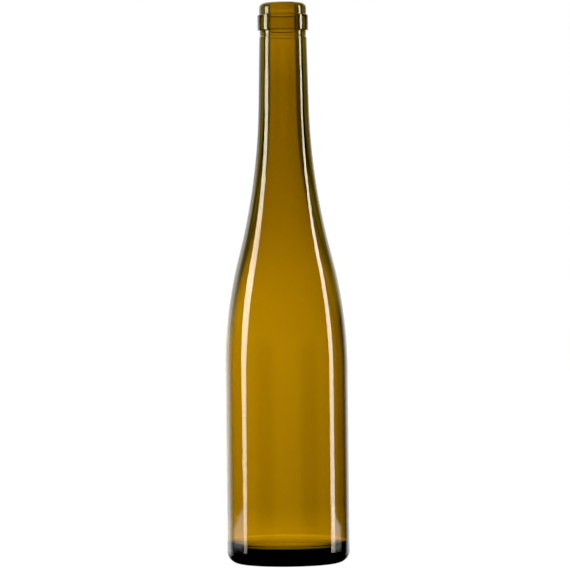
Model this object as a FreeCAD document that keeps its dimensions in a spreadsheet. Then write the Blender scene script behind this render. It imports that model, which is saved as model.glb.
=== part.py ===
"""Flute wine bottle, 750 ml, in coloured container glass: one solid of revolution.

Units are millimetres. The origin is the centre of the base, on the surface the
bottle stands on, and +Z is the bottle's axis, up towards the mouth.
"""
import FreeCAD, Part
import math
import os
import Sketcher

NODE = "bottle"

# Alias, value and meaning of each size that can be set by itself.
SIZES = [
    ("height", 350.0, "overall height, base to lip"),
    ("body_diameter", 77.2, "outside diameter of the cylindrical body"),
    ("heel_radius", 8.0, "outside radius where the body turns under the base"),
    ("bearing_width", 3.0, "width of the flat ring that the bottle stands on"),
    ("bearing_round", 2.0, "rounding of the bearing ring's inner edge"),
    ("punt_depth", 9.0, "rise of the underside's dome above the bearing ring"),
    ("shoulder_length", 167.0, "height of the long S-curve between body and neck"),
    ("shoulder_radius", 288.0, "radius of the convex part of the S-curve"),
    ("neck_length", 64.5, "height of the straight neck with its finish"),
    ("neck_root_diameter", 31.6, "outside diameter where the neck meets the S-curve"),
    ("neck_top_diameter", 29.5, "outside diameter of the neck just below the band"),
    ("band_step", 1.15, "how far the finish's flat band stands proud of the neck"),
    ("band_height", 9.9, "height of the finish's flat band"),
    ("band_round", 0.7, "rounding of the band's two edges"),
    ("lip_step", 1.15, "how far the lip stands back from the band"),
    ("lip_height", 7.5, "height of the lip above the band"),
    ("lip_round", 3.2, "rounding of the lip's outer edge"),
    ("mouth_round", 1.0, "rounding of the mouth's inner edge"),
    ("bore_diameter", 18.5, "straight bore that takes the cork"),
    ("bore_length", 45.0, "depth of the straight bore below the lip"),
    ("throat_diameter", 20.2, "inside diameter of the neck below the bore"),
    ("throat_taper", 15.0, "height over which the bore opens to the throat"),
    ("throat_length", 4.5, "height of the straight throat below the taper"),
    ("body_wall", 2.5, "wall thickness of the body"),
    ("inner_shoulder_radius", 241.0, "radius of the convex part of the inside's S-curve"),
    ("floor_height", 11.0, "height of the inside floor's lowest ring"),
    ("punt_wall", 3.6, "thickness of the glass at the top of the punt"),
    ("inner_heel_radius", 4.0, "inside radius between wall and floor"),
]

# The lip's wall, and the most of it that the roundings of its two edges may take.
LIP_WALL = ("(Sizes.neck_top_diameter / 2 + Sizes.band_step - Sizes.lip_step"
            " - Sizes.bore_diameter / 2)")
LIP_ROUND_SHARE = 0.65
MOUTH_ROUND_SHARE = 0.3

# Numbers that Sketcher gives to an edge's vertices, and to the sketch's own axes.
START, END, CENTRE = 1, 2, 3
X_AXIS, Y_AXIS = -1, -2
ORIGIN = (-1, 1)

doc = FreeCAD.newDocument("FluteBottle")

sheet = doc.addObject("Spreadsheet::Sheet", "Sizes")
for row, (alias, value, meaning) in enumerate(SIZES, start=1):
    sheet.set("A%d" % row, alias)
    sheet.set("B%d" % row, str(value))
    sheet.set("C%d" % row, meaning)
    sheet.setAlias("B%d" % row, alias)
doc.recompute()
size = {alias: float(sheet.get(alias)) for alias, value, meaning in SIZES}


# ---- sketching ------------------------------------------------------------

def at(radius, height):
    """A point of the half section: distance from the axis, height above the base."""
    return FreeCAD.Vector(radius, height, 0)


def origin_feature(body, role):
    """The plane of the body's own origin that has this role."""
    for feature in body.Origin.OriginFeatures:
        if feature.Role == role:
            return feature
    raise RuntimeError("no origin feature " + role)


def half_section(body, name):
    """An empty sketch in the XZ plane, whose Y direction is the bottle's axis."""
    sketch = body.newObject("Sketcher::SketchObject", name)
    sketch.AttachmentSupport = [(origin_feature(body, "XZ_Plane"), "")]
    sketch.MapMode = "FlatFace"
    return sketch


def line(sketch, start, end):
    """Draw a straight edge and return its number."""
    return sketch.addGeometry(Part.LineSegment(start, end), False)


def arc(sketch, centre, start, end):
    """Draw an arc that runs anticlockwise from start to end and return its number."""
    radius = (start - centre).Length
    begin = math.atan2(start.y - centre.y, start.x - centre.x)
    finish = math.atan2(end.y - centre.y, end.x - centre.x)
    if finish < begin:
        finish += 2 * math.pi
    circle = Part.Circle(centre, FreeCAD.Vector(0, 0, 1), radius)
    return sketch.addGeometry(Part.ArcOfCircle(circle, begin, finish), False)


def constrain(sketch, kind, *where):
    """Add a constraint that has no size."""
    sketch.addConstraint(Sketcher.Constraint(kind, *where))


def bind(sketch, name, kind, where, drawn, expression):
    """Add a dimension, as drawn, and bind it to an expression of the sheet's sizes."""
    number = sketch.addConstraint(Sketcher.Constraint(kind, *where, drawn))
    sketch.renameConstraint(number, name)
    sketch.setExpression("Constraints." + name, expression)


def bind_point(sketch, name, edge, vertex, radius="", height=""):
    """Bind a vertex's distance from the axis, its height above the base, or both."""
    drawn = sketch.getPoint(edge, vertex)
    where = ORIGIN + (edge, vertex)
    if radius:
        bind(sketch, name + "_radius", "DistanceX", where, drawn.x, radius)
    if height:
        bind(sketch, name + "_height", "DistanceY", where, drawn.y, height)


def bind_arc(sketch, name, edge, expression):
    """Bind an arc's radius."""
    bind(sketch, name, "Radius", (edge,), sketch.Geometry[edge].Radius, expression)


def turning_point(low, high, low_radius):
    """Where an upright S-curve from low to high turns, and its upper arc's radius.

    Both ends are upright; the lower arc bulges outwards and has the given radius.
    """
    turn = 2 * math.atan((low.x - high.x) / (high.y - low.y))
    upper_radius = (low.x - high.x) / (1 - math.cos(turn)) - low_radius
    turn_at = low + at(-low_radius * (1 - math.cos(turn)), low_radius * math.sin(turn))
    return turn_at, upper_radius


def s_curve(sketch, low, high, low_radius):
    """Draw the S-curve between body and neck and return its lower and upper arc."""
    turn_at, upper_radius = turning_point(low, high, low_radius)
    lower = arc(sketch, low - at(low_radius, 0), low, turn_at)
    upper = arc(sketch, high + at(upper_radius, 0), high, turn_at)
    constrain(sketch, "Tangent", lower, END, upper, END)
    return lower, upper


# ---- outside of the glass -------------------------------------------------

def draw_outside(sketch):
    """Draw half of the outside's outline, closed along the axis."""
    body = size["body_diameter"] / 2
    shoulder_foot = size["height"] - size["neck_length"] - size["shoulder_length"]
    neck_root = at(size["neck_root_diameter"] / 2, size["height"] - size["neck_length"])
    band_top = size["height"] - size["lip_height"]
    neck_top = at(size["neck_top_diameter"] / 2, band_top - size["band_height"])
    band = neck_top.x + size["band_step"]
    lip = band - size["lip_step"]
    ring_outer = at(body - size["heel_radius"], 0)
    ring_inner = ring_outer - at(size["bearing_width"], 0)
    punt_top = at(0, size["punt_depth"])
    punt_radius = (ring_inner.x ** 2 + punt_top.y ** 2) / (2 * punt_top.y)

    punt = arc(sketch, punt_top - at(0, punt_radius), ring_inner, punt_top)
    bearing = line(sketch, ring_inner, ring_outer)
    heel_centre = ring_outer + at(0, size["heel_radius"])
    heel = arc(sketch, heel_centre, ring_outer, heel_centre + at(size["heel_radius"], 0))
    side = line(sketch, at(body, size["heel_radius"]), at(body, shoulder_foot))
    low, high = s_curve(sketch, at(body, shoulder_foot), neck_root, size["shoulder_radius"])
    neck = line(sketch, neck_root, neck_top)
    band_under = line(sketch, neck_top, at(band, neck_top.y))
    band_side = line(sketch, at(band, neck_top.y), at(band, band_top))
    band_over = line(sketch, at(band, band_top), at(lip, band_top))
    lip_side = line(sketch, at(lip, band_top), at(lip, size["height"]))
    top = line(sketch, at(lip, size["height"]), at(0, size["height"]))
    axis = line(sketch, at(0, size["height"]), punt_top)

    constrain(sketch, "Coincident", punt, START, bearing, START)
    constrain(sketch, "Tangent", bearing, END, heel, START)
    constrain(sketch, "Tangent", heel, END, side, START)
    constrain(sketch, "Tangent", side, END, low, START)
    constrain(sketch, "Tangent", high, START, neck, START)
    corners = [neck, band_under, band_side, band_over, lip_side, top, axis]
    for below, above in zip(corners, corners[1:]):
        constrain(sketch, "Coincident", below, END, above, START)
    constrain(sketch, "Coincident", axis, END, punt, END)
    constrain(sketch, "PointOnObject", axis, START, Y_AXIS)
    constrain(sketch, "PointOnObject", axis, END, Y_AXIS)
    constrain(sketch, "PointOnObject", punt, CENTRE, Y_AXIS)
    constrain(sketch, "PointOnObject", bearing, START, X_AXIS)
    for level in (bearing, band_under, band_over, top):
        constrain(sketch, "Horizontal", level)
    for upright in (side, band_side, lip_side):
        constrain(sketch, "Vertical", upright)

    bind_point(sketch, "punt_top", punt, END, height="Sizes.punt_depth")
    bind(sketch, "bearing", "DistanceX", (bearing, START, bearing, END),
         size["bearing_width"], "Sizes.bearing_width")
    bind_arc(sketch, "heel", heel, "Sizes.heel_radius")
    bind_point(sketch, "shoulder_foot", side, END, "Sizes.body_diameter / 2",
               "Sizes.height - Sizes.neck_length - Sizes.shoulder_length")
    bind_arc(sketch, "shoulder", low, "Sizes.shoulder_radius")
    bind_point(sketch, "neck_root", neck, START, "Sizes.neck_root_diameter / 2",
               "Sizes.height - Sizes.neck_length")
    bind_point(sketch, "neck_top", neck, END, "Sizes.neck_top_diameter / 2",
               "Sizes.height - Sizes.lip_height - Sizes.band_height")
    bind_point(sketch, "band_top", band_side, END,
               "Sizes.neck_top_diameter / 2 + Sizes.band_step",
               "Sizes.height - Sizes.lip_height")
    bind_point(sketch, "lip_top", lip_side, END,
               "Sizes.neck_top_diameter / 2 + Sizes.band_step - Sizes.lip_step",
               "Sizes.height")


# ---- inside of the glass --------------------------------------------------

def draw_inside(sketch):
    """Draw half of the cavity's outline, closed along the axis."""
    wall = size["body_diameter"] / 2 - size["body_wall"]
    bore_end = size["height"] - size["bore_length"]
    throat_top = bore_end - size["throat_taper"]
    shoulder_foot = size["height"] - size["neck_length"] - size["shoulder_length"]
    throat_foot = at(size["throat_diameter"] / 2, throat_top - size["throat_length"])
    bore = size["bore_diameter"] / 2
    floor_top = at(0, size["punt_depth"] + size["punt_wall"])
    heel_centre = at(wall, size["floor_height"]) + at(-1, 1) * size["inner_heel_radius"]

    # The floor's dome touches the heel's arc, so their centres lie apart by the
    # sum of their radii.
    reach = floor_top.y + size["inner_heel_radius"]
    dome_height = (reach ** 2 - heel_centre.Length ** 2) / (2 * (reach - heel_centre.y))
    dome_centre = at(0, dome_height)
    dome_radius = floor_top.y - dome_height
    towards_heel = (heel_centre - dome_centre).normalize()
    valley = dome_centre + towards_heel * dome_radius

    dome = arc(sketch, dome_centre, valley, floor_top)
    heel_end = heel_centre + at(size["inner_heel_radius"], 0)
    heel = arc(sketch, heel_centre, valley, heel_end)
    side = line(sketch, heel_end, at(wall, shoulder_foot))
    low, high = s_curve(sketch, at(wall, shoulder_foot), throat_foot,
                        size["inner_shoulder_radius"])
    throat = line(sketch, throat_foot, at(throat_foot.x, throat_top))
    taper = line(sketch, at(throat_foot.x, throat_top), at(bore, bore_end))
    cork_bore = line(sketch, at(bore, bore_end), at(bore, size["height"]))
    top = line(sketch, at(bore, size["height"]), at(0, size["height"]))
    axis = line(sketch, at(0, size["height"]), floor_top)

    constrain(sketch, "Tangent", dome, START, heel, START)
    constrain(sketch, "Tangent", heel, END, side, START)
    constrain(sketch, "Tangent", side, END, low, START)
    constrain(sketch, "Tangent", high, START, throat, START)
    corners = [throat, taper, cork_bore, top, axis]
    for below, above in zip(corners, corners[1:]):
        constrain(sketch, "Coincident", below, END, above, START)
    constrain(sketch, "Coincident", axis, END, dome, END)
    constrain(sketch, "PointOnObject", axis, START, Y_AXIS)
    constrain(sketch, "PointOnObject", axis, END, Y_AXIS)
    constrain(sketch, "PointOnObject", dome, CENTRE, Y_AXIS)
    constrain(sketch, "Horizontal", top)
    for upright in (side, throat, cork_bore):
        constrain(sketch, "Vertical", upright)

    bind_point(sketch, "floor_top", dome, END, height="Sizes.punt_depth + Sizes.punt_wall")
    bind_point(sketch, "heel_centre", heel, CENTRE,
               height="Sizes.floor_height + Sizes.inner_heel_radius")
    bind_arc(sketch, "heel", heel, "Sizes.inner_heel_radius")
    bind_point(sketch, "shoulder_foot", side, END,
               "Sizes.body_diameter / 2 - Sizes.body_wall",
               "Sizes.height - Sizes.neck_length - Sizes.shoulder_length")
    bind_arc(sketch, "shoulder", low, "Sizes.inner_shoulder_radius")
    bind_point(sketch, "throat_foot", throat, START, "Sizes.throat_diameter / 2",
               "Sizes.height - Sizes.bore_length - Sizes.throat_taper - Sizes.throat_length")
    bind_point(sketch, "throat_top", throat, END,
               height="Sizes.height - Sizes.bore_length - Sizes.throat_taper")
    bind_point(sketch, "bore_end", cork_bore, START, "Sizes.bore_diameter / 2",
               "Sizes.height - Sizes.bore_length")
    bind_point(sketch, "mouth", cork_bore, END, height="Sizes.height")


# ---- the glass ------------------------------------------------------------

def circle_edges(shape, rings):
    """Names of the shape's circular edges about the axis, by (radius, height)."""
    names = []
    for number, edge in enumerate(shape.Edges, start=1):
        if edge.Degenerated or not isinstance(edge.Curve, Part.Circle):
            continue
        for radius, height in rings:
            near_radius = abs(edge.Curve.Radius - radius) < 1e-4
            near_height = abs(edge.Curve.Center.z - height) < 1e-4
            if near_radius and near_height:
                names.append("Edge%d" % number)
    if len(names) != len(rings):
        raise RuntimeError("found %d of %d edges to round" % (len(names), len(rings)))
    return names


def round_edges(body, name, rings, expression):
    """Round circular edges of the body's last feature."""
    base = body.Tip
    fillet = body.newObject("PartDesign::Fillet", name)
    fillet.Base = (base, circle_edges(base.Shape, rings))
    fillet.setExpression("Radius", expression)
    doc.recompute()
    return fillet


def make_bottle():
    """Turn the outside, cut the inside out of it and round the edges."""
    body = doc.addObject("PartDesign::Body", "Bottle")
    body.Label = NODE

    outside = half_section(body, "Outside")
    draw_outside(outside)
    blank = body.newObject("PartDesign::Revolution", "Blank")
    blank.Profile = outside
    blank.ReferenceAxis = (outside, ["V_Axis"])
    blank.Angle = 360
    doc.recompute()
    blank_volume = blank.Shape.Volume

    inside = half_section(body, "Inside")
    draw_inside(inside)
    cavity = body.newObject("PartDesign::Groove", "Cavity")
    cavity.Profile = inside
    cavity.ReferenceAxis = (inside, ["V_Axis"])
    cavity.Angle = 360
    doc.recompute()
    capacity = blank_volume - cavity.Shape.Volume
    if capacity < 0.5 * blank_volume:
        raise RuntimeError("the cavity wasn't cut")

    band = size["neck_top_diameter"] / 2 + size["band_step"]
    band_top = size["height"] - size["lip_height"]
    band_foot = band_top - size["band_height"]
    ring_inner = size["body_diameter"] / 2 - size["heel_radius"] - size["bearing_width"]
    round_edges(body, "BandEdges", [(band, band_foot), (band, band_top)],
                "Sizes.band_round")
    round_edges(body, "LipEdge", [(band - size["lip_step"], size["height"])],
                "min(Sizes.lip_round; %s * %s)" % (LIP_ROUND_SHARE, LIP_WALL))
    round_edges(body, "MouthEdge", [(size["bore_diameter"] / 2, size["height"])],
                "min(Sizes.mouth_round; %s * %s)" % (MOUTH_ROUND_SHARE, LIP_WALL))
    round_edges(body, "BearingEdge", [(ring_inner, 0.0)], "Sizes.bearing_round")
    body.Placement = FreeCAD.Placement()
    return body, capacity


def check_document():
    """Stop if any object of the document failed or any sketch can't be solved."""
    for thing in doc.Objects:
        bad = [state for state in thing.State if state in ("Invalid", "Error")]
        if bad:
            raise RuntimeError("%s is %s" % (thing.Name, ", ".join(bad)))
        if thing.TypeId == "Sketcher::SketchObject" and thing.solve() != 0:
            raise RuntimeError("sketch %s has no solution" % thing.Name)


bottle, capacity = make_bottle()
doc.recompute()
check_document()
if bottle.Shape.isNull() or not bottle.Shape.isValid():
    raise RuntimeError("the bottle's shape is not valid")
if len(bottle.Shape.Solids) != 1:
    raise RuntimeError("the bottle is not one solid")

os.makedirs("parts", exist_ok=True)
bottle.Shape.exportStep("parts/%s.step" % NODE)
print("glass %.1f ml, brimful capacity %.1f ml" % (bottle.Shape.Volume / 1000, capacity / 1000))
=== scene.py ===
"""Flute wine bottle in amber-olive container glass, empty and uncorked.

The bottle is turned from one outline, which runs up the outside, over the lip and
down the inside, so that its walls have their real thickness and bend and darken
light as a bottle's do. Sizes are in mm and turn to metres where the mesh is made.
"""
import math

import bpy
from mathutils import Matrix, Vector, noise


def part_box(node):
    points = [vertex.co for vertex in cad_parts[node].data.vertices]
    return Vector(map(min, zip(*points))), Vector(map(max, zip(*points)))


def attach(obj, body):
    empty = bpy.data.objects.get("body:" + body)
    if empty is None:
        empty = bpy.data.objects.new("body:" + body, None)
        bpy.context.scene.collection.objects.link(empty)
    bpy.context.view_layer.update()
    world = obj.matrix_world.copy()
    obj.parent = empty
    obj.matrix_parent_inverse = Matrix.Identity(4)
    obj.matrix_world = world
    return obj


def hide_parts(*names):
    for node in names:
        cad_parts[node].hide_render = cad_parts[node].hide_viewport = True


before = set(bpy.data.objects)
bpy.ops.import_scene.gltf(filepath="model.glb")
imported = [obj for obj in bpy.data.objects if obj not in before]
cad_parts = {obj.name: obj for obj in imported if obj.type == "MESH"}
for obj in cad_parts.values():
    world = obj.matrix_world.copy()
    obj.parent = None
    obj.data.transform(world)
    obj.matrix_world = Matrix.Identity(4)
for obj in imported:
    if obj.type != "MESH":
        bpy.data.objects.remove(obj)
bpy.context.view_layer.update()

MM = 0.001
low, high = (Vector(corner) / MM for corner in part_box("bottle"))

# ---- sizes of the glass, in mm: radii, heights and lengths ------------------

HEIGHT = high.z - low.z
BODY = min(high.x, -low.x)
HEEL_ROUND = 8.0
BEARING_WIDTH = 3.0
BEARING_ROUND = 2.0
PUNT_DEPTH = 9.0
SHOULDER_LENGTH = 167.0
SHOULDER_ROUND = 288.0
NECK_LENGTH = 64.5
NECK_ROOT = 15.8
NECK_TOP = 14.75
BAND = 15.9
BAND_HEIGHT = 9.9
BAND_ROUND = 0.7
CORNER_ROUND = 0.35
LIP = 14.75
LIP_HEIGHT = 7.5
LIP_ROUND = 3.2
MOUTH_ROUND = 1.0
MOUTH_LENGTH = 6.0
BORE = 9.25
THROAT = 10.1
THROAT_DEPTH = 64.5
BODY_WALL = 2.5
INNER_SHOULDER_ROUND = 241.0
FLOOR_HEIGHT = 11.0
PUNT_WALL = 3.6
INNER_HEEL_ROUND = 4.0

SHOULDER_FOOT = HEIGHT - NECK_LENGTH - SHOULDER_LENGTH

# The step where the neck ring's mould meets the body's mould, below the band.
RING_STEP_DEPTH = 21.5
RING_STEP_HEIGHT = 1.0
RING_STEP_CUT = 0.34
RING_STEP_GROOVE = 0.4

# The two halves of the body's mould meet in fine raised lines up both sides.
SEAM_TURN = 15.0
SEAM_PROUD = 0.12
SEAM_FOOT = 12.0
SEAM_HEAD = HEIGHT - RING_STEP_DEPTH - 3.0
SEAM_SOFT = 2.0

# Fine ribs on the bearing ring, which keep the hot base off the conveyor.
RIB_COUNT = 72
RIB_CUT = 0.3

# Air shapes the inside of the wall, so it is less even than the moulded outside.
SWELL = 0.05
SWELL_SPAN = 38.0
SWELL_FOOT, SWELL_HEAD, SWELL_SOFT = 40.0, 270.0, 20.0

TURN_STEPS = 288
STRAIGHT_STEP = 4.0
CURVE_STEP = 3.0


# ---- outline ----------------------------------------------------------------

def at(radius, height):
    """A point of the half section: distance from the axis, height from the base."""
    return Vector((radius, height))


def straight(start, end):
    """Points from start up to but not including end, close together near both ends."""
    span = end - start
    steps = max(1, round(span.length / STRAIGHT_STEP))
    shares = [step / steps for step in range(steps)]
    if span.length > 1.5:
        close = 0.3 / span.length
        shares = sorted(shares + [close, 1 - close])
    return [start + span * share for share in shares]


def arc(centre, start, end, steps=0):
    """Points on the short arc from start up to but not including end."""
    out = start - centre
    turn = out.angle_signed(end - centre)
    steps = steps or max(4, round(abs(turn) * out.length / CURVE_STEP))
    points = []
    for step in range(steps):
        angle = -turn * step / steps
        cos, sin = math.cos(angle), math.sin(angle)
        points.append(centre + Vector((out.x * cos - out.y * sin, out.x * sin + out.y * cos)))
    return points


def rounded(corners):
    """Straight runs between corners (point, rounding), each rounded by its radius."""
    points = []
    pen = corners[0][0]
    for (before, _), (corner, radius), (after, _) in zip(corners, corners[1:], corners[2:]):
        back = (before - corner).normalized()
        on = (after - corner).normalized()
        half = math.acos(max(-1.0, min(1.0, back.dot(on)))) / 2
        reach = radius / math.tan(half)
        start, end = corner + back * reach, corner + on * reach
        centre = corner + (back + on).normalized() * radius / math.sin(half)
        points += straight(pen, start)
        points += arc(centre, start, end, steps=6)
        pen = end
    return points + straight(pen, corners[-1][0])


def s_curve(foot, head, foot_round, lean=0.0):
    """Two arcs that join an upright at foot to a line at head that leans in by lean."""
    foot_centre = foot - at(foot_round, 0)
    out = Vector((math.cos(lean), math.sin(lean)))
    apart = head - foot_centre
    head_round = (apart.length_squared - foot_round ** 2) / (2 * (foot_round - apart.dot(out)))
    head_centre = head + out * head_round
    middle = foot_centre.lerp(head_centre, foot_round / (foot_round + head_round))
    return arc(foot_centre, foot, middle) + arc(head_centre, middle, head)


def base_outline():
    """Punt, bearing ring and heel, from the axis outwards."""
    ring_outer = BODY - HEEL_ROUND
    ring_inner = ring_outer - BEARING_WIDTH
    dome_round = (ring_inner ** 2 + PUNT_DEPTH ** 2) / (2 * PUNT_DEPTH)
    dome = at(0, PUNT_DEPTH - dome_round)
    edge_x = math.sqrt((dome_round + BEARING_ROUND) ** 2 - (BEARING_ROUND - dome.y) ** 2)
    edge = at(edge_x, BEARING_ROUND)
    dome_end = dome + (edge - dome).normalized() * dome_round
    heel = at(ring_outer, HEEL_ROUND)
    points = arc(dome, at(0, PUNT_DEPTH), dome_end)
    points += arc(edge, dome_end, at(edge_x, 0), steps=6)
    points += [at(edge_x + (ring_outer - edge_x) * share, 0) for share in (0, 0.3, 0.5, 0.7)]
    points += arc(heel, at(ring_outer, 0), at(BODY, HEEL_ROUND), steps=14)
    return points


def outside_outline():
    """Body, shoulder, neck and finish, from the heel up to the lip's top."""
    neck_root = at(NECK_ROOT, HEIGHT - NECK_LENGTH)
    band_top = HEIGHT - LIP_HEIGHT
    neck_top = at(NECK_TOP, band_top - BAND_HEIGHT)
    step_height = HEIGHT - RING_STEP_DEPTH
    step_share = (step_height - neck_root.y) / (neck_top.y - neck_root.y)
    step = neck_root.lerp(neck_top, step_share)
    lean = math.atan((NECK_ROOT - NECK_TOP) / (neck_top.y - neck_root.y))
    points = straight(at(BODY, HEEL_ROUND), at(BODY, SHOULDER_FOOT))
    points += s_curve(at(BODY, SHOULDER_FOOT), neck_root, SHOULDER_ROUND, lean)
    points += straight(neck_root, step)
    points += [step, step - at(RING_STEP_CUT + RING_STEP_GROOVE, -RING_STEP_HEIGHT / 8)]
    ring_foot = step - at(RING_STEP_CUT, -RING_STEP_HEIGHT)
    points += rounded([
        (ring_foot, 0),
        (at(ring_foot.x, neck_top.y), CORNER_ROUND),
        (at(BAND, neck_top.y), BAND_ROUND * 0.7),
        (at(BAND, band_top), BAND_ROUND),
        (at(LIP, band_top), CORNER_ROUND),
        (at(LIP, HEIGHT), LIP_ROUND),
        (at(BORE, HEIGHT), MOUTH_ROUND),
        (at(BORE, HEIGHT - MOUTH_LENGTH), 0),
    ])
    return points


def inside_outline():
    """Bore, shoulder, wall and floor, from the mouth down to the axis.

    The bore opens evenly from the mouth to the throat, as blown bores do.
    """
    wall = BODY - BODY_WALL
    mouth = at(BORE, HEIGHT - MOUTH_LENGTH)
    throat = at(THROAT, HEIGHT - THROAT_DEPTH)
    lean = math.atan((throat.x - mouth.x) / (mouth.y - throat.y))
    floor_top = at(0, PUNT_DEPTH + PUNT_WALL)
    heel = at(wall - INNER_HEEL_ROUND, FLOOR_HEIGHT + INNER_HEEL_ROUND)
    reach = floor_top.y + INNER_HEEL_ROUND
    dome = at(0, (reach ** 2 - heel.length_squared) / (2 * (reach - heel.y)))
    valley = heel + (dome - heel).normalized() * INNER_HEEL_ROUND
    shoulder = s_curve(at(wall, SHOULDER_FOOT), throat, INNER_SHOULDER_ROUND, lean)
    points = straight(mouth, throat) + [throat] + shoulder[:0:-1]
    points += straight(at(wall, SHOULDER_FOOT), at(wall, heel.y))
    points += arc(heel, at(wall, heel.y), valley, steps=12)
    points += arc(dome, valley, floor_top)
    return points + [floor_top]


# ---- turning the outline ----------------------------------------------------

def faded(height, foot, head, soft):
    """1 between foot and head, falling smoothly to 0 over the soft span beyond."""
    outside = max(foot - height, height - head, 0) / soft
    return 0.5 + 0.5 * math.cos(math.pi * min(outside, 1))


def swelling(point, turn):
    """How far the inside of the wall stands out at this point of the turn, in mm."""
    round_the_axis = Vector((math.cos(turn) * point.x, math.sin(turn) * point.x, point.y))
    uneven = noise.noise(round_the_axis / SWELL_SPAN) * SWELL
    return uneven * faded(point.y, SWELL_FOOT, SWELL_HEAD, SWELL_SOFT)


def seam(point, turn):
    """How far the mould's seams stand proud of the outside, in mm."""
    seams = [math.radians(SEAM_TURN), math.radians(SEAM_TURN + 180)]
    apart = min(abs(math.remainder(turn - place, math.tau)) for place in seams)
    on_seam = apart < math.tau / TURN_STEPS / 2
    return SEAM_PROUD * faded(point.y, SEAM_FOOT, SEAM_HEAD, SEAM_SOFT) if on_seam else 0


def rib(point, turn):
    """How far the bearing ring is cut up between its ribs, in mm."""
    flat = BODY - HEEL_ROUND
    middle = flat - BEARING_WIDTH * 0.33
    across = max(0, 1 - abs(point.x - middle) / (BEARING_WIDTH * 0.25))
    between = math.sin(turn * RIB_COUNT) > -0.1
    return RIB_CUT * across if point.y < 0.01 and between else 0


def turned(name, outside, inside):
    """A closed mesh of the outline turned about the axis; its two ends are on the axis."""
    outline = outside + inside
    rings = outline[1:-1]
    vertices = [(0, 0, outline[0].y * MM), (0, 0, outline[-1].y * MM)]
    for number, point in enumerate(rings, start=1):
        for step in range(TURN_STEPS):
            turn = math.tau * step / TURN_STEPS
            if number < len(outside):
                radius, height = point.x + seam(point, turn), point.y + rib(point, turn)
            else:
                radius, height = point.x + swelling(point, turn), point.y
            vertices.append((radius * math.cos(turn) * MM, radius * math.sin(turn) * MM,
                             height * MM))
    faces = []
    last = 2 + (len(rings) - 1) * TURN_STEPS
    for step in range(TURN_STEPS):
        following = (step + 1) % TURN_STEPS
        faces.append((0, 2 + following, 2 + step))
        faces.append((1, last + step, last + following))
        for ring in range(len(rings) - 1):
            below, above = 2 + ring * TURN_STEPS, 2 + (ring + 1) * TURN_STEPS
            faces.append((below + step, below + following, above + following, above + step))
    mesh = bpy.data.meshes.new(name)
    mesh.from_pydata(vertices, [], faces)
    mesh.validate()
    mesh.shade_smooth()
    piece = bpy.data.objects.new(name, mesh)
    bpy.context.collection.objects.link(piece)
    return piece


# ---- materials --------------------------------------------------------------

def linear(code):
    """Linear colour, with alpha, of an sRGB hex code such as "#b07a10"."""
    channels = [int(code[place:place + 2], 16) / 255 for place in (1, 3, 5)]
    levels = [c / 12.92 if c <= 0.04045 else ((c + 0.055) / 1.055) ** 2.4 for c in channels]
    return (*levels, 1.0)


def add(tree, kind, settings=(), inputs=(), links=()):
    """Add a node, set its own settings and sockets, and link sockets to others' outputs."""
    node = tree.nodes.new(kind)
    for name, value in dict(settings).items():
        setattr(node, name, value)
    for name, value in dict(inputs).items():
        node.inputs[name].default_value = value
    for name, output in dict(links).items():
        tree.links.new(output, node.inputs[name])
    return node


def new_material(name):
    """An empty node material and its output node."""
    material = bpy.data.materials.new(name)
    material.use_nodes = True
    tree = material.node_tree
    tree.nodes.clear()
    return material, tree, tree.nodes.new("ShaderNodeOutputMaterial")


def container_glass():
    """Amber-olive soda-lime container glass, blown in a mould and fire-polished.

    The melt is coloured through, so thick glass at the base and in the neck is darker
    than the body's wall. The skin is glossy, with faint ripples left by the mould.
    """
    material, tree, output = new_material("container_glass_amber_olive")
    place = add(tree, "ShaderNodeTexCoord")
    ripple_width = 9.0 * MM
    peel_width = 1.6 * MM
    ripples = add(tree, "ShaderNodeTexNoise", inputs={"Scale": 1 / ripple_width, "Detail": 1.0},
                  links={"Vector": place.outputs["Object"]})
    peel = add(tree, "ShaderNodeTexNoise", inputs={"Scale": 1 / peel_width, "Detail": 2.0},
               links={"Vector": place.outputs["Object"]})
    ripple_bump = add(tree, "ShaderNodeBump", inputs={"Strength": 0.25, "Distance": 0.05 * MM},
                      links={"Height": ripples.outputs["Fac"]})
    peel_bump = add(tree, "ShaderNodeBump", inputs={"Strength": 0.2, "Distance": 0.004 * MM},
                    links={"Height": peel.outputs["Fac"], "Normal": ripple_bump.outputs["Normal"]})
    glass = add(tree, "ShaderNodeBsdfPrincipled",
                inputs={"Base Color": linear("#ffdc3f"), "Roughness": 0.02, "IOR": 1.52,
                        "Transmission Weight": 1.0},
                links={"Normal": peel_bump.outputs["Normal"]})
    melt = add(tree, "ShaderNodeVolumeAbsorption",
               inputs={"Color": (0.602, 0.58, 0.0, 1.0), "Density": 300.0})
    tree.links.new(glass.outputs["BSDF"], output.inputs["Surface"])
    tree.links.new(melt.outputs["Volume"], output.inputs["Volume"])
    return material


def studio_floor():
    """Matt white board. It is its own pale backdrop, and keeps the bottle's soft shadow."""
    material, tree, output = new_material("studio_board")
    place = add(tree, "ShaderNodeTexCoord")
    grain = add(tree, "ShaderNodeTexNoise", inputs={"Scale": 1 / (2.0 * MM), "Detail": 3.0},
                links={"Vector": place.outputs["Object"]})
    grain_bump = add(tree, "ShaderNodeBump", inputs={"Strength": 0.1, "Distance": 0.05 * MM},
                     links={"Height": grain.outputs["Fac"]})
    board = add(tree, "ShaderNodeBsdfDiffuse", inputs={"Color": linear("#f7f7f7")},
                links={"Normal": grain_bump.outputs["Normal"]})
    pale = add(tree, "ShaderNodeEmission", inputs={"Color": linear("#ffffff"),
                                                   "Strength": BOARD_LEVEL})
    seen = add(tree, "ShaderNodeMixShader", inputs={0: BOARD_SHARE},
               links={1: board.outputs[0], 2: pale.outputs[0]})
    tree.links.new(seen.outputs[0], output.inputs["Surface"])
    return material


# ---- the bottle -------------------------------------------------------------

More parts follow.
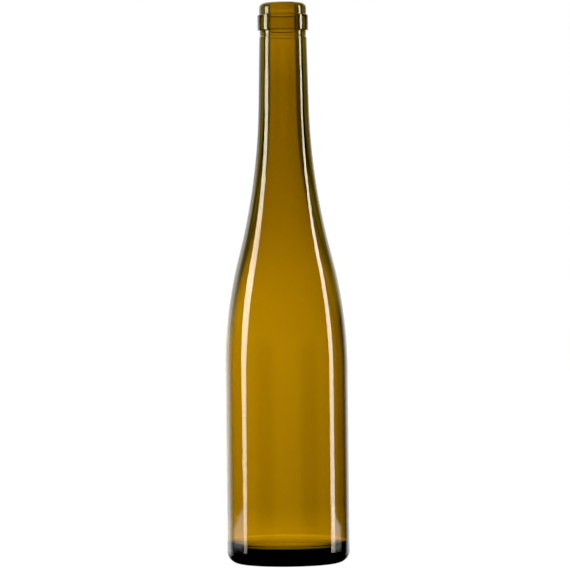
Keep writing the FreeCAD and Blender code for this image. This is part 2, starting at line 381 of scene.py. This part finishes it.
bottle = turned("bottle_glass", base_outline() + outside_outline(), inside_outline())
bottle.data.materials.append(container_glass())
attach(bottle, "root")
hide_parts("bottle")


# ---- studio -----------------------------------------------------------------

def bearing(degrees):
    """Place on a ramp round the room of a direction; 0 is +Y, positive towards +X."""
    return 0.5 + degrees / 360


def ramp(tree, value, stops):
    """A ramp of grey levels through stops (place, level)."""
    node = add(tree, "ShaderNodeValToRGB", links={"Fac": value})
    elements = node.color_ramp.elements
    while len(elements) < len(stops):
        elements.new(0.5)
    for element, (stop, level) in zip(elements, stops):
        element.position = stop
        element.color = (level, level, level, 1)
    return node


# The lit backdrop that shows through the glass, and its levels across, behind the body
# up to BEHIND_BODY and behind the neck from BEHIND_NECK, and up it; all places are in mm.
BACKDROP_AWAY = 500.0
BACKDROP_LEFT, BACKDROP_RIGHT = -400.0, 250.0
BACKDROP_FOOT, BACKDROP_HEAD = -80.0, 440.0
BEHIND_BODY, BEHIND_NECK = 180.0, 240.0
ACROSS_BODY = [(-400, 0.3), (-330, 1.6), (-120, 1.6), (-80, 1.2), (0, 1.0), (90, 0.8),
               (180, 0.2), (250, 0.0)]
ACROSS_NECK = [(-400, 0.0), (-250, 0.5), (-200, 1.2), (0, 1.0), (160, 0.9), (250, 0.0)]
UP = [(-60, 1.2), (0, 0.6), (130, 0.8), (225, 1.0), (330, 0.9), (360, 1.2)]
# Beyond it the room is dark, then lit at the sides and behind the camera, so that the
# bottle is lit from behind in the view from each side too.
ROUND = [(bearing(-180), 0.9), (bearing(-160), 0.9), (bearing(-145), 0.05),
         (bearing(-125), 0.05), (bearing(-110), 0.9), (bearing(-75), 0.9),
         (bearing(-62), 0.03), (bearing(62), 0.03), (bearing(75), 0.9), (bearing(110), 0.9),
         (bearing(125), 0.05), (bearing(145), 0.05), (bearing(160), 0.9)]
# In steeper directions the glass shows the white board below, and a ceiling above that is
# dark from CEILING_TO on.
STEEP_FROM, STEEP_TO = 0.11, 0.2
CEILING_FROM, CEILING_TO, CEILING_LEVEL = 0.12, 0.25, 0.3
# What the glass mirrors: the backdrop behind it, at a glancing angle, and a dark room.
# The backdrop is brighter below MIRRORED_FOOT than above MIRRORED_HEAD.
MIRRORED = [(bearing(-55), 0.0), (bearing(-40), 1.2), (bearing(0), 1.0),
            (bearing(30), 1.0), (bearing(45), 0.0)]
MIRRORED_FOOT, MIRRORED_HEAD, MIRRORED_GAIN = -0.03, 0.06, 1.5
# Low down the glass also mirrors a glow over the board, strongest at the sides: its
# level, and how far down it begins, from 0 at SPILL_HEAD to 1 at SPILL_FOOT.
SPILL = [(bearing(-95), 2.5), (bearing(-50), 1.0), (bearing(50), 1.0), (bearing(95), 4.0)]
SPILL_FROM = [(bearing(-96), 1.0), (bearing(-90), 0.0), (bearing(-52), 1.0),
              (bearing(60), 1.0), (bearing(88), 0.0), (bearing(94), 1.0)]
SPILL_HEAD, SPILL_FOOT = -0.068, -0.0755
SPILL_END, SPILL_OUT = -0.0795, -0.0835
# Below BOARD_HEAD it mirrors the board in front, which lies in shadow from BOARD_FOOT on.
BOARD_HEAD, BOARD_FOOT = -0.077, -0.3


def studio_world():
    """White backdrop to the eye; what the glass shows and mirrors of the room is as above."""
    world = bpy.data.worlds.new("studio")
    bpy.context.scene.world = world
    world.use_nodes = True
    tree = world.node_tree
    tree.nodes.clear()
    place = add(tree, "ShaderNodeTexCoord")
    way = add(tree, "ShaderNodeSeparateXYZ", links={0: place.outputs["Generated"]})
    round_about = add(tree, "ShaderNodeMath", {"operation": "ARCTAN2"},
                      links={0: way.outputs["X"], 1: way.outputs["Y"]})
    turn = add(tree, "ShaderNodeMapRange",
               inputs={"From Min": -math.pi, "From Max": math.pi},
               links={"Value": round_about.outputs[0]})
    steepness = add(tree, "ShaderNodeMath", {"operation": "ABSOLUTE"},
                    links={0: way.outputs["Z"]})
    steep = add(tree, "ShaderNodeMapRange", inputs={
        "From Min": STEEP_FROM, "From Max": STEEP_TO},
        links={"Value": steepness.outputs[0]})
    ceiling = add(tree, "ShaderNodeMapRange", inputs={
        "From Min": CEILING_FROM, "From Max": CEILING_TO, "To Min": 1.0,
        "To Max": CEILING_LEVEL},
        links={"Value": way.outputs["Z"]})
    through = add(tree, "ShaderNodeMix", links={
        "Factor": steep.outputs[0], "A": ramp(tree, turn.outputs[0], ROUND).outputs["Color"],
        "B": ceiling.outputs[0]})
    gain = add(tree, "ShaderNodeMapRange", inputs={
        "From Min": MIRRORED_HEAD, "From Max": MIRRORED_FOOT, "To Min": 1.0,
        "To Max": MIRRORED_GAIN}, links={"Value": way.outputs["Z"]})
    behind = add(tree, "ShaderNodeMath", {"operation": "MULTIPLY"}, links={
        0: ramp(tree, turn.outputs[0], MIRRORED).outputs["Color"], 1: gain.outputs[0]})
    depth = add(tree, "ShaderNodeMapRange", inputs={
        "From Min": SPILL_HEAD, "From Max": SPILL_FOOT}, links={"Value": way.outputs["Z"]})
    within = add(tree, "ShaderNodeMath", {"operation": "SUBTRACT"}, links={
        0: depth.outputs[0], 1: ramp(tree, turn.outputs[0], SPILL_FROM).outputs["Color"]})
    spill = add(tree, "ShaderNodeMapRange", inputs={"From Max": 0.3},
                links={"Value": within.outputs[0]})
    ending = add(tree, "ShaderNodeMapRange", inputs={
        "From Min": SPILL_OUT, "From Max": SPILL_END},
        links={"Value": way.outputs["Z"],
               "To Max": ramp(tree, turn.outputs[0], SPILL).outputs["Color"]})
    lit = add(tree, "ShaderNodeMath", {"operation": "MULTIPLY_ADD"}, links={
        0: spill.outputs[0], 1: ending.outputs[0], 2: behind.outputs[0]})
    above = add(tree, "ShaderNodeMapRange", inputs={
        "From Min": BOARD_FOOT, "From Max": BOARD_HEAD}, links={"Value": way.outputs["Z"]})
    mirrored = add(tree, "ShaderNodeMath", {"operation": "MULTIPLY"}, links={
        0: lit.outputs[0], 1: above.outputs[0]})
    path = add(tree, "ShaderNodeLightPath")
    unseen = add(tree, "ShaderNodeMix", inputs={"A": ROOM_LEVEL}, links={
        "Factor": path.outputs["Is Glossy Ray"], "B": mirrored.outputs[0]})
    glass = add(tree, "ShaderNodeMix", links={
        "Factor": path.outputs["Is Transmission Ray"], "A": unseen.outputs["Result"],
        "B": through.outputs["Result"]})
    seen = add(tree, "ShaderNodeMix", inputs={"B": 1.0}, links={
        "Factor": path.outputs["Is Camera Ray"], "A": glass.outputs["Result"]})
    back = add(tree, "ShaderNodeBackground", inputs={"Color": linear("#ffffff")},
               links={"Strength": seen.outputs["Result"]})
    output = tree.nodes.new("ShaderNodeOutputWorld")
    tree.links.new(back.outputs[0], output.inputs["Surface"])


def share(stops, start, end):
    """Stops whose places run from start to end, as places from 0 to 1."""
    return [((place - start) / (end - start), level) for place, level in stops]


def backdrop_light():
    """Diffuser cloth lit from behind, brighter to the left, dimmest at the board's height."""
    material, tree, output = new_material("backdrop_diffuser")
    place = add(tree, "ShaderNodeTexCoord")
    spot = add(tree, "ShaderNodeSeparateXYZ", links={0: place.outputs["Object"]})
    aside = add(tree, "ShaderNodeMapRange", inputs={
        "From Min": BACKDROP_LEFT * MM, "From Max": BACKDROP_RIGHT * MM},
        links={"Value": spot.outputs["X"]})
    rise = add(tree, "ShaderNodeMapRange", inputs={
        "From Min": BACKDROP_FOOT * MM, "From Max": BACKDROP_HEAD * MM},
        links={"Value": spot.outputs["Z"]})
    at_neck = add(tree, "ShaderNodeMapRange", inputs={
        "From Min": BEHIND_BODY * MM, "From Max": BEHIND_NECK * MM},
        links={"Value": spot.outputs["Z"]})
    body = ramp(tree, aside.outputs[0], share(ACROSS_BODY, BACKDROP_LEFT, BACKDROP_RIGHT))
    neck = ramp(tree, aside.outputs[0], share(ACROSS_NECK, BACKDROP_LEFT, BACKDROP_RIGHT))
    across = add(tree, "ShaderNodeMix", links={
        "Factor": at_neck.outputs[0], "A": body.outputs["Color"], "B": neck.outputs["Color"]})
    up = ramp(tree, rise.outputs[0], share(UP, BACKDROP_FOOT, BACKDROP_HEAD))
    level = add(tree, "ShaderNodeMath", {"operation": "MULTIPLY"},
                links={0: across.outputs["Result"], 1: up.outputs["Color"]})
    lit = add(tree, "ShaderNodeEmission", inputs={"Color": linear("#ffffff")},
              links={"Strength": level.outputs[0]})
    tree.links.new(lit.outputs[0], output.inputs["Surface"])
    return material


def stage_sheet(name, corners, material):
    """A flat sheet of the studio through four corners, in metres."""
    mesh = bpy.data.meshes.new(name)
    mesh.from_pydata(corners, [], [(0, 1, 2, 3)])
    mesh.materials.append(material)
    sheet = bpy.data.objects.new(name, mesh)
    bpy.context.collection.objects.link(sheet)
    return sheet


def softbox(name, place, aim, width, height, level, colour="#ffffff"):
    """A rectangular soft light at place facing aim, whose face has this brightness."""
    light = bpy.data.lights.new(name, "AREA")
    light.shape = "RECTANGLE"
    light.size, light.size_y = width, height
    light.energy = level * math.pi * width * height
    light.color = linear(colour)[:3]
    lamp = bpy.data.objects.new(name, light)
    lamp.location = place
    lamp.rotation_euler = (Vector(aim) - Vector(place)).to_track_quat("-Z", "Y").to_euler()
    lamp.visible_camera = False
    lamp.visible_transmission = False
    bpy.context.collection.objects.link(lamp)
    return lamp


def strip(name, turn, width, foot_share, level, fading, colour):
    """A tall narrow softbox beside the bottle; turn is its bearing from the bottle.

    Its foot has foot_share of its head's width. Fading holds (height in mm, level). It
    runs on below the edge of the board.
    """
    turn, half = math.radians(turn), math.radians(width / 2)
    across, along = STRIP_DISTANCE * math.sin(turn), STRIP_DISTANCE * math.cos(turn)
    middle = (STRIP_FOOT + STRIP_HEAD) / 2 * MM
    lamp = softbox(name, (across, along, middle), (0, 0, middle),
                   2 * STRIP_DISTANCE * math.tan(half), (STRIP_HEAD - STRIP_FOOT) * MM,
                   level, colour)
    lamp.data.use_nodes = True
    tree = lamp.data.node_tree
    face = add(tree, "ShaderNodeNewGeometry")
    spot = add(tree, "ShaderNodeSeparateXYZ", links={0: face.outputs["Parametric"]})
    bright = ramp(tree, spot.outputs["Y"], share(fading, STRIP_FOOT, STRIP_HEAD))
    edge = add(tree, "ShaderNodeMapRange",
               inputs={"From Max": STRIP_FULL_WIDTH, "To Min": foot_share / 2, "To Max": 0.5},
               links={"Value": spot.outputs["Y"]})
    aside = add(tree, "ShaderNodeMath", {"operation": "SUBTRACT"}, {1: 0.5},
                {0: spot.outputs["X"]})
    off = add(tree, "ShaderNodeMath", {"operation": "ABSOLUTE"}, links={0: aside.outputs[0]})
    inside = add(tree, "ShaderNodeMath", {"operation": "LESS_THAN"},
                 links={0: off.outputs[0], 1: edge.outputs[0]})
    strength = add(tree, "ShaderNodeMath", {"operation": "MULTIPLY"},
                   links={0: bright.outputs["Color"], 1: inside.outputs[0]})
    tree.links.new(strength.outputs[0], tree.nodes["Emission"].inputs["Strength"])
    return lamp


# The strip lights stand beside the bottle, and are brighter towards their heads.
STRIP_DISTANCE = 0.6
STRIP_FOOT, STRIP_HEAD = -60.0, 550.0
# Share of a strip's height from which it has its head's width.
STRIP_FULL_WIDTH = 0.66
ROOM_LEVEL = 0.6
BOARD_LEVEL = 1.14
BOARD_SHARE = 0.8

strip("strip_left", -95.0, 18.0, 0.4, 18.0,
      [(-60, 0.0), (0, 0.5), (350, 0.8), (440, 0.6)], "#fff0d4")
strip("strip_right", 90.3, 10.5, 1.0, 12.6,
      [(-60, 0.0), (0, 0.75), (350, 1.0), (440, 1.2)], "#fff2e4")
overhead = softbox("overhead", (0, -0.2, 1.5), (0, 0, 0), 0.8, 0.8, 1.2)
overhead.visible_glossy = False
studio_world()

FLOOR_HALF = 4.0
floor = stage_sheet("studio_floor", [
    (-FLOOR_HALF, -FLOOR_HALF, 0), (FLOOR_HALF, -FLOOR_HALF, 0),
    (FLOOR_HALF, FLOOR_HALF, 0), (-FLOOR_HALF, FLOOR_HALF, 0)], studio_floor())
floor.visible_transmission = False
floor.visible_glossy = False

left, right = BACKDROP_LEFT * MM, BACKDROP_RIGHT * MM
foot, head, away = BACKDROP_FOOT * MM, BACKDROP_HEAD * MM, BACKDROP_AWAY * MM
backdrop = stage_sheet("backdrop", [
    (left, away, foot), (right, away, foot), (right, away, head), (left, away, head)],
    backdrop_light())
backdrop.visible_camera = False
backdrop.visible_diffuse = False
backdrop.visible_glossy = False
backdrop.visible_shadow = False

CAMERA_DISTANCE = 2.0
CAMERA_HEIGHT = 0.1736
CAMERA_ASIDE = -0.0004
CAMERA_ROLL = math.radians(0.63)
SENSOR_WIDTH = 36.0
FRAME_WIDTH = 0.3565

camera_data = bpy.data.cameras.new("camera")
camera_data.sensor_width = SENSOR_WIDTH
camera_data.lens = SENSOR_WIDTH * CAMERA_DISTANCE / FRAME_WIDTH
camera = bpy.data.objects.new("camera", camera_data)
camera.location = (CAMERA_ASIDE, -CAMERA_DISTANCE, CAMERA_HEIGHT)
camera.rotation_euler = (math.radians(90), CAMERA_ROLL, 0)
bpy.context.collection.objects.link(camera)

scene = bpy.context.scene
scene.camera = camera
scene.view_settings.view_transform = "Standard"
